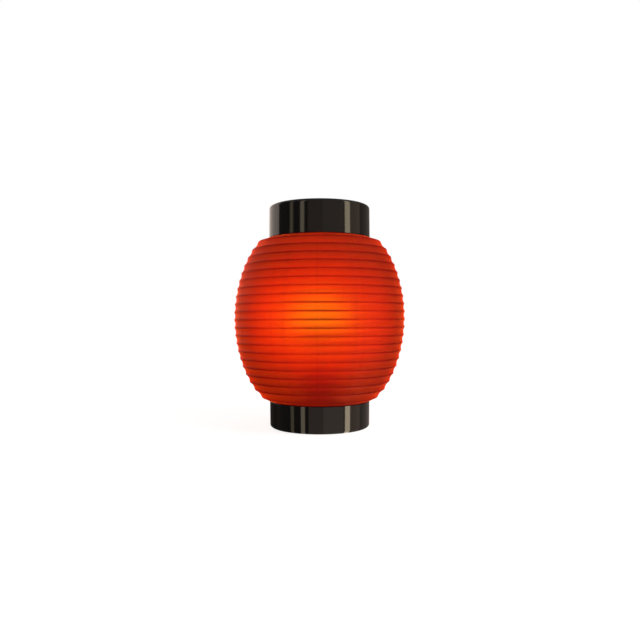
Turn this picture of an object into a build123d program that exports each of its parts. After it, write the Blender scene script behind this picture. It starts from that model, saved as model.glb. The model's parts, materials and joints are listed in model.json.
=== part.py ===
from build123d import *
import os
from math import acos, asin, atan, cos, degrees, radians, sin, sqrt

os.makedirs("parts", exist_ok=True)

# A free-standing paper lantern of the barrel kind. Red paper is pasted over separate split-bamboo
# hoops between two black mouth rings, and a lamp stands on a wooden bar in the lower ring. The
# upper ring and the hoops slide down round the lamp when the body is folded flat.
# The lantern's axis is Z and it stands on the plane Z = 0. All sizes are in millimetres.

# ---- driving sizes: mouth rings
UPPER_RING_RADIUS = 70.8  # outside, where the paper meets the ring
LOWER_RING_RADIUS = 70.0
UPPER_RING_HEIGHT = 44.5  # the black part, outside the body
LOWER_RING_HEIGHT = 36.5
RING_WALL = 3.2
RING_DRAFT = 0.4  # how much smaller the radius is at the free edge
RING_EDGE_RADIUS = 3.6  # round of the free edge
LIP_WIDTH = 9.0  # the free edge turns inwards this far
LIP_THICKNESS = 3.0
SPIGOT_STEP = 1.6  # the ring is thinner where it stands inside the paper
SPIGOT_LENGTH = 9.0
RING_ROUNDS = [0.5, RING_EDGE_RADIUS, 1.0, 1.0, 1.5, 0.5, 0.5, 0.0]  # one for each corner

# ---- driving sizes: paper body and hoops
BODY_RADIUS = 120.0  # paper crests at the fullest hoop
BODY_HEIGHT = 227.0  # from mouth ring to mouth ring
UPPER_NECK_SPREAD = 4.7  # the barrel's curve ends this far outside the mouth rings
LOWER_NECK_SPREAD = 5.5
EQUATOR_RISE = 2.3  # the body is fullest this far above its middle
FULLNESS = 1.94  # exponents of the barrel's curve
SHOULDER = 1.45
PAPER_THICKNESS = 0.4
PAPER_SAG = 1.7  # how far the paper falls in between two hoops
HOOP_COUNT = 21
HOOP_DIAMETER = 2.0
MOUTH_GAP = 5.7  # from a mouth plane to the nearest hoop
FOLDED_PITCH = 2.6  # hoop to hoop when the body is folded flat
NECK_BAND_HEIGHT = 7.0  # the flat hoop that clamps the paper's end on each ring
NECK_BAND_THICKNESS = 2.0
NECK_BAND_ROUND = 0.4
THREAD_COUNT = 8
THREAD_WIDTH = 0.6

# ---- driving sizes: lamp bar and its fastening
BAR_BOTTOM = 13.5
BAR_THICKNESS = 9.0
BAR_WIDTH = 24.0
BAR_ROUND = 1.5
CLEAT_DEPTH = 12.0
CLEAT_HEIGHT = 7.5
WOOD_SCREW_RADIUS = 1.5
WOOD_SCREW_HEAD_RADIUS = 3.0
WOOD_SCREW_LENGTH = 15.0
WOOD_SCREW_SPACING = 12.0
WOOD_SCREW_SPARE = 1.0  # the pilot hole is this much deeper than the screw
WOOD_SCREW_SLOT = 0.8  # width and depth of the driver slot
WOOD_SCREW_SLOT_LENGTH = 4.2
COUNTERSINK_ANGLE = 90

# ---- driving sizes: nipple, nuts and washers
NIPPLE_RADIUS = 5.0
NIPPLE_BORE_RADIUS = 3.6
NIPPLE_END = 2.0  # how far the nipple stands out under the lower nut
NIPPLE_SHOWN = 0.8  # bare thread between the upper nut and the holder
NIPPLE_CHAMFER = 0.4
NUT_ACROSS_FLATS = 14.0
NUT_THICKNESS = 3.5
WASHER_RADIUS = 9.0
WASHER_THICKNESS = 1.2

# ---- driving sizes: lamp holder (E27)
HOLDER_WALL = 1.5
CAP_NECK_RADIUS = 8.0
CAP_NECK_HEIGHT = 6.0
CAP_CONE_HEIGHT = 6.0
CAP_SKIRT_HEIGHT = 14.0
CAP_SPIGOT_HEIGHT = 6.0  # the shell sleeves over this much of the cap
CAP_WALL_RISE = 2.0  # the cavity starts this far above the cap's cone
CAP_FLOOR = 1.0  # plastic over the nipple's end
SHELL_ABOVE_TIP = 26.0  # the holder's mouth, above the bulb's contact tip
MOUTH_CLEARANCE = 1.8  # round the bulb's screw cap
INSERT_BELOW_TIP = 10.0  # the porcelain insert, below and above the contact tip
INSERT_ABOVE_TIP = 3.5
INSERT_SHOULDER = 1.1  # porcelain left outside the liner's foot
WELL_RADIUS = 11.0
WELL_DEPTH = 6.0
TERMINAL_SPREAD = 25.0
TERMINAL_RADIUS = 1.6
TERMINAL_DEPTH = 4.5
TERMINAL_HEAD_RADIUS = 2.8
TERMINAL_HEAD_HEIGHT = 1.8
LINER_WALL = 0.4
LINER_GAP = 0.15  # round the bulb's screw cap
LINER_FOOT = 2.5
LINER_FOOT_THICKNESS = 0.6
CONTACT_WIDTH = 5.0
CONTACT_BACK = 8.0  # from the axis to the end of the leaf's foot
CONTACT_BEND = 6.0  # from the axis to the leaf's fold
CONTACT_TONGUE = 3.0  # from the axis to the leaf's free end
LEAF_THICKNESS = 0.35

# ---- driving sizes: key switch
BUSH_WALL = 2.0
BUSH_FLANGE = 1.8  # width and thickness of the bush's flange
BUSH_DEPTH = 5.0
SPINDLE_RADIUS = 1.5
SPINDLE_SPARE = 2.5  # how much the key covers past the spindle's end
KEY_LENGTH = 16.0
KEY_THICKNESS = 3.2
KEY_DEPTH = 9.5
KEY_STANDOFF = 0.5
KEY_ROUND = 0.6
CAM_SIDE = 6.0
CAM_ROUND = 0.8
CAM_DEPTH = 4.0
CAM_BACK = 7.0  # from the holder's axis to the cam's far face
SWITCH_LEAF_WIDTH = 4.0
SWITCH_LEAF_OVERHANG = 1.0  # how far the switch leaf reaches past the cam

# ---- driving sizes: bulb (A60)
GLOBE_RADIUS = 30.0
GLOBE_WALL = 1.2
GLOBE_CUT = 12.0  # the dome ends this far below the globe's centre
BULB_SEAT = 80.0  # from the globe's centre down to the contact tip
BULB_TIP_RADIUS = 4.5
BULB_TIP_HEIGHT = 1.6
BULB_TIP_ROUND = 1.0
INSULATOR_HEIGHT = 3.4
INSULATOR_SMALL_RADIUS = 6.0
INSULATOR_LARGE_RADIUS = 12.0
SCREW_CAP_RADIUS = 13.05
SCREW_CAP_HEIGHT = 22.0
SCREW_CAP_WALL = 0.4
HOUSING_WALL = 1.5
HOUSING_SPIGOT = 8.0  # how far the housing is pressed into the screw cap
HOUSING_STEP = 1.2  # the housing is this much wider than the screw cap where they meet
HOUSING_NECK_HEIGHT = 11.0
HOUSING_NECK_SPREAD = 1.3
HOUSING_FLARE_HEIGHT = 20.0
HOUSING_RIM_DRAFT = 1.0  # the flare ends this much narrower than the dome
HOUSING_NECK_EXTRA = 0.8  # the wall is this much thicker at the neck
HOUSING_NECK_LIFT = 1.0  # the inside's bends stand this far above the outside's
HOUSING_LEDGE_LIFT = 2.0
HOUSING_LEDGE = 2.5  # the LED board rests on it
LED_COUNT = 12
LED_CIRCLE_RADIUS = 16.0
LED_LENGTH = 3.5
LED_WIDTH = 2.8
LED_HEIGHT = 0.7
BOARD_THICKNESS = 1.6
BOARD_SEAT = 2.6  # from the housing's rim down to the LED board's underside
DRIVER_HEIGHT = 34.0
DRIVER_WIDTH = 16.0
DRIVER_THICKNESS = 1.2
CAPACITOR_RADIUS = 4.0
CAPACITOR_HEIGHT = 12.0
CAPACITOR_SINK = 0.4  # how far its side is soldered into the board
CAPACITOR_DROP = 18.0  # from the LED board's underside to the capacitor's foot

# ---- driving sizes: cable entry
CABLE_BORE_RADIUS = 3.2
CABLE_ENTRY_HEIGHT = 20.0
GROMMET_RADIUS = 4.9
GROMMET_FLANGE_RADIUS = 7.5
GROMMET_FLANGE_THICKNESS = 2.0
GROMMET_ROUND = 0.8

# ---- clearances
GLUE_GAP = 0.1  # glued or pressed seats within one body
SOFT_GAP = 0.3  # paper and thread against the hoops
RUNNING_GAP = 0.06  # spindle in its bush
SCREW_GAP = 0.1

# ---- places worked out from the sizes above: body
lower_neck = LOWER_RING_HEIGHT
upper_neck = lower_neck + BODY_HEIGHT
total_height = upper_neck + UPPER_RING_HEIGHT
body_middle = lower_neck + BODY_HEIGHT / 2
fullest_height = body_middle + EQUATOR_RISE
hoop_pitch = (BODY_HEIGHT - 2 * MOUTH_GAP) / (HOOP_COUNT - 1)
folded_share = FOLDED_PITCH / hoop_pitch
fold_travel = BODY_HEIGHT * (1 - folded_share)
lower_wall_radius = LOWER_RING_RADIUS - RING_WALL

# ---- places worked out from the sizes above: lamp, stacked up from the bar
bar_top = BAR_BOTTOM + BAR_THICKNESS
lower_nut_bottom = BAR_BOTTOM - WASHER_THICKNESS - NUT_THICKNESS
upper_nut_bottom = bar_top + WASHER_THICKNESS
cap_bottom = upper_nut_bottom + NUT_THICKNESS + NIPPLE_SHOWN
cap_neck_top = cap_bottom + CAP_NECK_HEIGHT
cap_round = cap_neck_top + CAP_CONE_HEIGHT
cap_shoulder = cap_round + CAP_SKIRT_HEIGHT
insert_bottom = cap_shoulder + CAP_SPIGOT_HEIGHT
tip = insert_bottom + INSERT_BELOW_TIP  # the bulb's contact tip
insert_top = tip + INSERT_ABOVE_TIP
well_floor = insert_top - WELL_DEPTH
holder_mouth = tip + SHELL_ABOVE_TIP
switch_height = cap_round + CAP_SKIRT_HEIGHT / 2
globe_centre = tip + BULB_SEAT
globe_base = globe_centre - GLOBE_CUT

# ---- radii worked out from the bulb's screw cap, outwards
liner_inner = SCREW_CAP_RADIUS + LINER_GAP
liner_outer = liner_inner + LINER_WALL
insert_radius = liner_outer + LINER_FOOT + INSERT_SHOULDER
shell_inner = insert_radius + SOFT_GAP
holder_radius = shell_inner + HOLDER_WALL
cap_spigot_radius = shell_inner - GLUE_GAP
cavity_radius = cap_spigot_radius - HOLDER_WALL
holder_mouth_radius = SCREW_CAP_RADIUS + MOUTH_CLEARANCE


def body_radius(height):
    """Radius of the paper's crests at a height, on the barrel's curve."""
    share = min(abs(height - fullest_height) / (BODY_HEIGHT / 2), 1.0)
    bulge = (1 - share**FULLNESS) ** (1 / SHOULDER)
    if height > fullest_height:
        neck = UPPER_RING_RADIUS + UPPER_NECK_SPREAD
    else:
        neck = LOWER_RING_RADIUS + LOWER_NECK_SPREAD
    return neck + (BODY_RADIUS - neck) * bulge


def inward(start, end):
    """Unit normal of a chord that runs up the body's outline, towards the lantern's inside."""
    run = (end - start).normalized()
    return Vector(-run.Y, run.X)


def crest_corner(below, crest, above, sag_below, sag_above):
    """The direction into the body that halves a crest's corner, and half of the corner's angle."""
    arms = []
    for other, sag in ((below, sag_below), (above, sag_above)):
        chord = other - crest
        normal = inward(below, crest) if other is below else inward(crest, above)
        lift = 2 * atan(2 * sag / chord.length)
        arms.append(chord.normalized() * cos(lift) + normal * sin(lift))
    middle = (arms[0] + arms[1]).normalized()
    return middle, acos(middle.dot(arms[0]))


def pair(point):
    """A vector of the outline as a plain (radius, height) pair."""
    return (point.X, point.Y)


# The paper's outline, from the lower ring up: one crest over each hoop and one point at each neck.
hoop_heights = [lower_neck + MOUTH_GAP + hoop_pitch * i for i in range(HOOP_COUNT)]
paper_start = SPIGOT_STEP - NECK_BAND_THICKNESS - GLUE_GAP - SOFT_GAP
crests = [Vector(LOWER_RING_RADIUS - paper_start, lower_neck + SOFT_GAP)]
crests += [Vector(body_radius(z), z) for z in hoop_heights]
crests += [Vector(UPPER_RING_RADIUS - paper_start, upper_neck - SOFT_GAP)]
sags = [0.0] + [PAPER_SAG] * (HOOP_COUNT - 1) + [0.0]

# Behind each crest stand the paper's inner corner, the hoop, and the thread that spaces the hoops.
inner_crests, hoop_centres, thread_outer, thread_inner = [], [], [], []
for i in range(1, HOOP_COUNT + 1):
    middle, half_angle = crest_corner(
        crests[i - 1], crests[i], crests[i + 1], sags[i - 1], sags[i]
    )
    inner_crest = crests[i] + middle * (PAPER_THICKNESS / sin(half_angle))
    hoop_radius = HOOP_DIAMETER / 2
    centre = inner_crest + middle * ((hoop_radius + SOFT_GAP) / sin(half_angle))
    inner_crests.append(inner_crest)
    hoop_centres.append(centre)
    thread_outer.append(centre + middle * (hoop_radius + SOFT_GAP))
    thread_inner.append(centre + middle * (hoop_radius + SOFT_GAP + THREAD_WIDTH))

# ---------------------------------------------------------------- mouth rings


def ring_corners(radius, neck, away):
    """Outline of a mouth ring as (radius, height) corners, from the neck's outer edge round.

    away is +1 for a ring that stands above its neck plane and -1 for one below it.
    """
    height = UPPER_RING_HEIGHT if away > 0 else LOWER_RING_HEIGHT
    free = neck + away * height
    lip = free - away * LIP_THICKNESS
    spigot = neck - away * SPIGOT_LENGTH
    return [
        (radius, neck),
        (radius - RING_DRAFT, free),
        (radius - LIP_WIDTH, free),
        (radius - LIP_WIDTH, lip),
        (radius - RING_WALL, lip),
        (radius - RING_WALL, spigot),
        (radius - SPIGOT_STEP, spigot),
        (radius - SPIGOT_STEP, neck),
    ]


with BuildPart() as upper_ring:
    with BuildSketch(Plane.XZ):
        with BuildLine():
            FilletPolyline(
                *ring_corners(UPPER_RING_RADIUS, upper_neck, 1),
                radius=RING_ROUNDS,
                close=True,
            )
        make_face()
    revolve(axis=Axis.Z)
upper_ring.part.label = "upper_ring"
export_step(upper_ring.part, "parts/upper_ring.step")

# The lower ring has a hole at the back for the cable's grommet.
with BuildPart() as lower_ring:
    with BuildSketch(Plane.XZ):
        with BuildLine():
            FilletPolyline(
                *ring_corners(LOWER_RING_RADIUS, lower_neck, -1),
                radius=RING_ROUNDS,
                close=True,
            )
        make_face()
    revolve(axis=Axis.Z)
    with Locations(Location((0, LOWER_RING_RADIUS, CABLE_ENTRY_HEIGHT), (90, 0, 0))):
        Cylinder(GROMMET_RADIUS + GLUE_GAP, 4 * RING_WALL, mode=Mode.SUBTRACT)
lower_ring.part.label = "lower_ring"
export_step(lower_ring.part, "parts/lower_ring.step")

# A flat hoop round each ring's spigot clamps the paper's end against the ring's step.
for name, radius, neck, away in (
    ("upper_neck_band", UPPER_RING_RADIUS, upper_neck, 1),
    ("lower_neck_band", LOWER_RING_RADIUS, lower_neck, -1),
):
    band_inner = radius - SPIGOT_STEP + GLUE_GAP
    band_outer = band_inner + NECK_BAND_THICKNESS
    band_near = neck - away * SOFT_GAP
    band_far = band_near - away * NECK_BAND_HEIGHT
    with BuildPart() as neck_band:
        with BuildSketch(Plane.XZ):
            with BuildLine():
                FilletPolyline(
                    (band_inner, band_near),
                    (band_outer, band_near),
                    (band_outer, band_far),
                    (band_inner, band_far),
                    radius=NECK_BAND_ROUND,
                    close=True,
                )
            make_face()
        revolve(axis=Axis.Z)
    neck_band.part.label = name
    export_step(neck_band.part, f"parts/{name}.step")

# ---------------------------------------------------------------- hoops, paper and threads

# Each hoop is a strip of split bamboo bent into its own closed circle.
for i, centre in enumerate(hoop_centres):
    hoop_name = f"hoop_{i + 1:02d}"
    with BuildPart() as hoop:
        with BuildSketch(Plane.XZ):
            with Locations(pair(centre)):
                Circle(HOOP_DIAMETER / 2)
        revolve(axis=Axis.Z)
    hoop.part.label = hoop_name
    export_step(hoop.part, f"parts/{hoop_name}.step")


def paper_runs(points, shift):
    """One arc or straight run of the paper's outline for each gap between two crests.

    shift moves the runs into the body, by nothing for the outside and the paper's
    thickness for the inside.
    """
    for run, sag in enumerate(sags):
        start, end = points[run], points[run + 1]
        if sag == 0:
            Line(pair(start), pair(end))
        else:
            outside_middle = (crests[run] + crests[run + 1]) * 0.5
            middle = outside_middle + inward(crests[run], crests[run + 1]) * (sag + shift)
            ThreePointArc(pair(start), pair(middle), pair(end))


paper_first = crests[0] + inward(crests[0], crests[1]) * PAPER_THICKNESS
paper_last = crests[-1] + inward(crests[-2], crests[-1]) * PAPER_THICKNESS
paper_inside = [paper_first, *inner_crests, paper_last]

with BuildPart() as paper_shade:
    with BuildSketch(Plane.XZ):
        with BuildLine():
            paper_runs(crests, 0.0)
            Line(pair(crests[-1]), pair(paper_last))
            paper_runs(paper_inside, PAPER_THICKNESS)
            Line(pair(paper_first), pair(crests[0]))
        make_face()
    revolve(axis=Axis.Z)
paper_shade.part.label = "paper_shade"
export_step(paper_shade.part, "parts/paper_shade.step")

# The threads run up behind the hoops and end on the neck bands.
thread_end = NECK_BAND_HEIGHT + 2 * SOFT_GAP
band_middle = SPIGOT_STEP - GLUE_GAP - NECK_BAND_THICKNESS / 2
low_end = Vector(LOWER_RING_RADIUS - band_middle, lower_neck + thread_end)
high_end = Vector(UPPER_RING_RADIUS - band_middle, upper_neck - thread_end)
thread_rise = Vector(0, THREAD_WIDTH)
thread_outline = [low_end, *thread_outer, high_end]
thread_outline += [high_end - thread_rise, *reversed(thread_inner), low_end + thread_rise]

thread_corners = [pair(point) for point in thread_outline]

with BuildPart() as spacing_threads:
    for i in range(THREAD_COUNT):
        turn = radians(360 / THREAD_COUNT * (i + 0.5))
        upright = Plane((0, 0, 0), (cos(turn), sin(turn), 0), (sin(turn), -cos(turn), 0))
        with BuildSketch(upright):
            with BuildLine():
                Polyline(*thread_corners, close=True)
            make_face()
        extrude(amount=THREAD_WIDTH / 2, both=True)
spacing_threads.part.label = "spacing_threads"
export_step(spacing_threads.part, "parts/spacing_threads.step")

# ---------------------------------------------------------------- lamp bar

bar_reach = lower_wall_radius - SOFT_GAP
screw_x = bar_reach - CLEAT_DEPTH / 2
screw_places = [
    (side * screw_x, row * WOOD_SCREW_SPACING / 2) for side in (-1, 1) for row in (-1, 1)
]

# The bar's ends follow the ring's wall. The lamp's nipple passes through its middle.
with BuildPart() as lamp_bar:
    with BuildSketch(Plane.XY.offset(BAR_BOTTOM)):
        Rectangle(2 * bar_reach, BAR_WIDTH)
        Circle(bar_reach, mode=Mode.INTERSECT)
    extrude(amount=BAR_THICKNESS)
    long_edges = lamp_bar.edges().filter_by(Axis.X)
    fillet(long_edges, BAR_ROUND)
    with Locations((0, 0, bar_top)):
        Hole(NIPPLE_RADIUS + SOFT_GAP)
    with Locations(*[(x, y, bar_top) for x, y in screw_places]):
        CounterSinkHole(
            WOOD_SCREW_RADIUS + SCREW_GAP,
            WOOD_SCREW_HEAD_RADIUS + SCREW_GAP,
            counter_sink_angle=COUNTERSINK_ANGLE,
        )
lamp_bar.part.label = "lamp_bar"
export_step(lamp_bar.part, "parts/lamp_bar.step")

# Two wooden cleats glued to the ring's wall carry the bar.
pilot_depth = WOOD_SCREW_LENGTH - BAR_THICKNESS + WOOD_SCREW_SPARE
with BuildPart() as bar_cleats:
    with BuildSketch(Plane.XY.offset(BAR_BOTTOM - CLEAT_HEIGHT)):
        with Locations(*[(side * (lower_wall_radius - CLEAT_DEPTH / 2), 0) for side in (-1, 1)]):
            Rectangle(CLEAT_DEPTH, BAR_WIDTH)
        Circle(lower_wall_radius - GLUE_GAP, mode=Mode.INTERSECT)
    extrude(amount=CLEAT_HEIGHT)
    with Locations(*[(x, y, BAR_BOTTOM) for x, y in screw_places]):
        Hole(WOOD_SCREW_RADIUS + GLUE_GAP / 2, depth=pilot_depth)
bar_cleats.part.label = "bar_cleats"
export_step(bar_cleats.part, "parts/bar_cleats.step")

# Four countersunk wood screws hold the bar down on the cleats.
screw_head = WOOD_SCREW_HEAD_RADIUS - WOOD_SCREW_RADIUS
with BuildPart() as bar_screws:
    with Locations(*[(x, y, bar_top) for x, y in screw_places]):
        Cylinder(
            WOOD_SCREW_RADIUS,
            WOOD_SCREW_LENGTH,
            align=(Align.CENTER, Align.CENTER, Align.MAX),
        )
        Cone(
            WOOD_SCREW_RADIUS,
            WOOD_SCREW_HEAD_RADIUS,
            screw_head,
            align=(Align.CENTER, Align.CENTER, Align.MAX),
        )
        Box(
            WOOD_SCREW_SLOT,
            WOOD_SCREW_SLOT_LENGTH,
            WOOD_SCREW_SLOT,
            align=(Align.CENTER, Align.CENTER, Align.MAX),
            mode=Mode.SUBTRACT,
        )
bar_screws.part.label = "bar_screws"
export_step(bar_screws.part, "parts/bar_screws.step")

# ---------------------------------------------------------------- lamp holder

bush_radius = SPINDLE_RADIUS + BUSH_WALL
nipple_fit = NIPPLE_RADIUS + GLUE_GAP / 2

# A threaded tube stands on the bar, carries the holder and lets the cable through.
nipple_bottom = lower_nut_bottom - NIPPLE_END
with BuildPart() as nipple:
    with BuildSketch(Plane.XY.offset(nipple_bottom)):
        Circle(NIPPLE_RADIUS)
        Circle(NIPPLE_BORE_RADIUS, mode=Mode.SUBTRACT)
    extrude(amount=cap_neck_top - nipple_bottom)
    chamfer(nipple.edges().filter_by(GeomType.CIRCLE), NIPPLE_CHAMFER)
nipple.part.label = "nipple"
export_step(nipple.part, "parts/nipple.step")

for name, bottom in (
    ("lower_lock_nut", lower_nut_bottom),
    ("upper_lock_nut", upper_nut_bottom),
):
    with BuildPart() as lock_nut:
        with BuildSketch(Plane.XY.offset(bottom)):
            RegularPolygon(NUT_ACROSS_FLATS / 2, 6, major_radius=False)
            Circle(nipple_fit, mode=Mode.SUBTRACT)
        extrude(amount=NUT_THICKNESS)
    lock_nut.part.label = name
    export_step(lock_nut.part, f"parts/{name}.step")

with BuildPart() as washers:
    for bottom in (BAR_BOTTOM - WASHER_THICKNESS, bar_top):
        with BuildSketch(Plane.XY.offset(bottom)):
            Circle(WASHER_RADIUS)
            Circle(NIPPLE_RADIUS + SOFT_GAP, mode=Mode.SUBTRACT)
        extrude(amount=WASHER_THICKNESS)
washers.part.label = "washers"
export_step(washers.part, "parts/washers.step")

# The cap screws on the nipple, holds the switch and carries the porcelain insert on its rim.
with BuildPart() as holder_cap:
    with BuildSketch(Plane.XZ):
        with BuildLine():
            FilletPolyline(
                (nipple_fit, cap_bottom),
                (CAP_NECK_RADIUS, cap_bottom),
                (CAP_NECK_RADIUS, cap_neck_top),
                (holder_radius, cap_round),
                (holder_radius, cap_shoulder),
                (cap_spigot_radius, cap_shoulder),
                (cap_spigot_radius, insert_bottom),
                (cavity_radius, insert_bottom),
                (cavity_radius, cap_round + CAP_WALL_RISE),
                (CAP_NECK_RADIUS - HOLDER_WALL, cap_neck_top + CAP_FLOOR),
                (nipple_fit, cap_neck_top + CAP_FLOOR),
                radius=[0, 0.8, 2, 4, 0.6, 0, 0, 0, 3, 0, 0],
                close=True,
            )
        make_face()
    revolve(axis=Axis.Z)
    with Locations(Location((0, -holder_radius, switch_height), (90, 0, 0))):
        Cylinder(bush_radius + GLUE_GAP, 2 * BUSH_DEPTH, mode=Mode.SUBTRACT)
holder_cap.part.label = "holder_cap"
export_step(holder_cap.part, "parts/holder_cap.step")

# The outer shell sleeves over the cap's spigot and turns in at the mouth.
with BuildPart() as holder_shell:
    with BuildSketch(Plane.XZ):
        with BuildLine():
            FilletPolyline(
                (shell_inner, cap_shoulder),
                (holder_radius, cap_shoulder),
                (holder_radius, holder_mouth),
                (holder_mouth_radius, holder_mouth),
                (holder_mouth_radius, holder_mouth - HOLDER_WALL),
                (shell_inner, holder_mouth - HOLDER_WALL),
                radius=[0, 0.5, 1.4, 0.5, 0.3, 0.5],
                close=True,
            )
        make_face()
    revolve(axis=Axis.Z)
holder_shell.part.label = "holder_shell"
export_step(holder_shell.part, "parts/holder_shell.step")

# The porcelain insert has a well for the centre contact and two holes for the terminals.
terminal_places = [(side * TERMINAL_SPREAD / 2, 0, insert_bottom) for side in (-1, 1)]
with BuildPart() as holder_insert:
    with BuildSketch(Plane.XZ):
        with BuildLine():
            FilletPolyline(
                (0, insert_bottom),
                (insert_radius, insert_bottom),
                (insert_radius, insert_top),
                (WELL_RADIUS, insert_top),
                (WELL_RADIUS, well_floor),
                (0, well_floor),
                radius=[0, 0, 0.6, 0.4, 0.4, 0],
                close=True,
            )
        make_face()
    revolve(axis=Axis.Z)
    with Locations(*terminal_places):
        Cylinder(
            TERMINAL_RADIUS + GLUE_GAP,
            TERMINAL_DEPTH + SOFT_GAP,
            align=(Align.CENTER, Align.CENTER, Align.MIN),
            mode=Mode.SUBTRACT,
        )
holder_insert.part.label = "holder_insert"
export_step(holder_insert.part, "parts/holder_insert.step")

with BuildPart() as terminal_screws:
    with Locations(*terminal_places):
        Cylinder(
            TERMINAL_RADIUS,
            TERMINAL_DEPTH,
            align=(Align.CENTER, Align.CENTER, Align.MIN),
        )
        Cylinder(
            TERMINAL_HEAD_RADIUS,
            TERMINAL_HEAD_HEIGHT,
            align=(Align.CENTER, Align.CENTER, Align.MAX),
        )
terminal_screws.part.label = "terminal_screws"
export_step(terminal_screws.part, "parts/terminal_screws.step")

# The brass liner stands on the insert by its foot, and the bulb's screw cap sits in it.
liner_top = holder_mouth - HOLDER_WALL - SOFT_GAP
with BuildPart() as screw_liner:
    with BuildSketch(Plane.XZ):
        with BuildLine():
            Polyline(
                (liner_inner, insert_top),
                (liner_outer + LINER_FOOT, insert_top),
                (liner_outer + LINER_FOOT, insert_top + LINER_FOOT_THICKNESS),
                (liner_outer, insert_top + LINER_FOOT_THICKNESS),
                (liner_outer, liner_top),
                (liner_inner, liner_top),
                close=True,
            )
        make_face()
    revolve(axis=Axis.Z)
screw_liner.part.label = "screw_liner"
export_step(screw_liner.part, "parts/screw_liner.step")

# The centre contact is a leaf folded back on itself, which presses on the bulb's tip.
leaf_top = tip - GLUE_GAP / 2
leaf_inner_round = LEAF_THICKNESS
leaf_outer_round = 2 * LEAF_THICKNESS
with BuildPart() as centre_contact:
    with BuildSketch(Plane.XZ):
        with BuildLine():
            FilletPolyline(
                (-CONTACT_BACK, well_floor),
                (CONTACT_BEND, well_floor),
                (CONTACT_BEND, leaf_top),
                (-CONTACT_TONGUE, leaf_top),
                (-CONTACT_TONGUE, leaf_top - LEAF_THICKNESS),
                (CONTACT_BEND - LEAF_THICKNESS, leaf_top - LEAF_THICKNESS),
                (CONTACT_BEND - LEAF_THICKNESS, well_floor + LEAF_THICKNESS),
                (-CONTACT_BACK, well_floor + LEAF_THICKNESS),
                radius=[
                    0,
                    leaf_outer_round,
                    leaf_outer_round,
                    0,
                    0,
                    leaf_inner_round,
                    leaf_inner_round,
                    0,
                ],
                close=True,
            )
        make_face()
    extrude(amount=CONTACT_WIDTH / 2, both=True)
centre_contact.part.label = "centre_contact"
export_step(centre_contact.part, "parts/centre_contact.step")

# ---------------------------------------------------------------- key switch, on a level axis

switch_axis = Axis((0, 0, switch_height), (0, 1, 0))
flange_back = -holder_radius - GLUE_GAP
flange_front = flange_back - BUSH_FLANGE
key_back = flange_front - KEY_STANDOFF
key_front = key_back - KEY_DEPTH
cam_front = -CAM_BACK - CAM_DEPTH
spindle_end = key_front + SPINDLE_SPARE
cam_plane = Plane(origin=(0, -CAM_BACK, switch_height), z_dir=(0, -1, 0))
key_plane = Plane(origin=(0, key_back, switch_height), z_dir=(0, -1, 0))

with BuildPart() as switch_bush:
    with BuildSketch(Plane.XY.offset(switch_height)):
        with BuildLine():
            Polyline(
                (SPINDLE_RADIUS + RUNNING_GAP, flange_front),
                (bush_radius + BUSH_FLANGE, flange_front),
                (bush_radius + BUSH_FLANGE, flange_back),
                (bush_radius, flange_back),
                (bush_radius, BUSH_DEPTH - holder_radius),
                (SPINDLE_RADIUS + RUNNING_GAP, BUSH_DEPTH - holder_radius),
                close=True,
            )
        make_face()
    revolve(axis=switch_axis)
switch_bush.part.label = "switch_bush"
export_step(switch_bush.part, "parts/switch_bush.step")

with BuildPart() as switch_spindle:
    with BuildSketch(cam_plane):
        Circle(SPINDLE_RADIUS)
    extrude(amount=-CAM_BACK - spindle_end)
switch_spindle.part.label = "switch_spindle"
export_step(switch_spindle.part, "parts/switch_spindle.step")

# The square cam lifts the switch leaf four times in a turn.
with BuildPart() as switch_cam:
    with BuildSketch(cam_plane):
        RectangleRounded(CAM_SIDE, CAM_SIDE, CAM_ROUND)
        Circle(SPINDLE_RADIUS + RUNNING_GAP, mode=Mode.SUBTRACT)
    extrude(amount=CAM_DEPTH)
switch_cam.part.label = "switch_cam"
export_step(switch_cam.part, "parts/switch_cam.step")

# The key is a flat paddle with a round hub, pressed on the spindle's end.
with BuildPart() as switch_key:
    with BuildSketch(key_plane):
        Circle(KEY_THICKNESS)
        SlotOverall(KEY_LENGTH, KEY_THICKNESS)
    extrude(amount=KEY_DEPTH)
    fillet(switch_key.faces().sort_by(Axis.Y)[0].edges(), KEY_ROUND)
    with BuildSketch(key_plane):
        Circle(SPINDLE_RADIUS + RUNNING_GAP)
    extrude(amount=key_back - spindle_end + GLUE_GAP, mode=Mode.SUBTRACT)
switch_key.part.label = "switch_key"
export_step(switch_key.part, "parts/switch_key.step")

# A brass leaf hangs from the insert and reaches over the cam.
cam_reach = CAM_SIDE / 2 * sqrt(2)
leaf_low = switch_height + cam_reach + SOFT_GAP
leaf_near = cam_front - SWITCH_LEAF_OVERHANG
leaf_far = -CAM_BACK + SWITCH_LEAF_OVERHANG
with BuildPart() as switch_leaf:
    with BuildSketch(Plane.YZ):
        with BuildLine():
            Polyline(
                (leaf_near - LEAF_THICKNESS, insert_bottom),
                (leaf_near - LEAF_THICKNESS, leaf_low),
                (leaf_far, leaf_low),
                (leaf_far, leaf_low + LEAF_THICKNESS),
                (leaf_near, leaf_low + LEAF_THICKNESS),
                (leaf_near, insert_bottom),
                close=True,
            )
        make_face()
    extrude(amount=SWITCH_LEAF_WIDTH / 2, both=True)
switch_leaf.part.label = "switch_leaf"
export_step(switch_leaf.part, "parts/switch_leaf.step")

# ---------------------------------------------------------------- bulb

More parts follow.
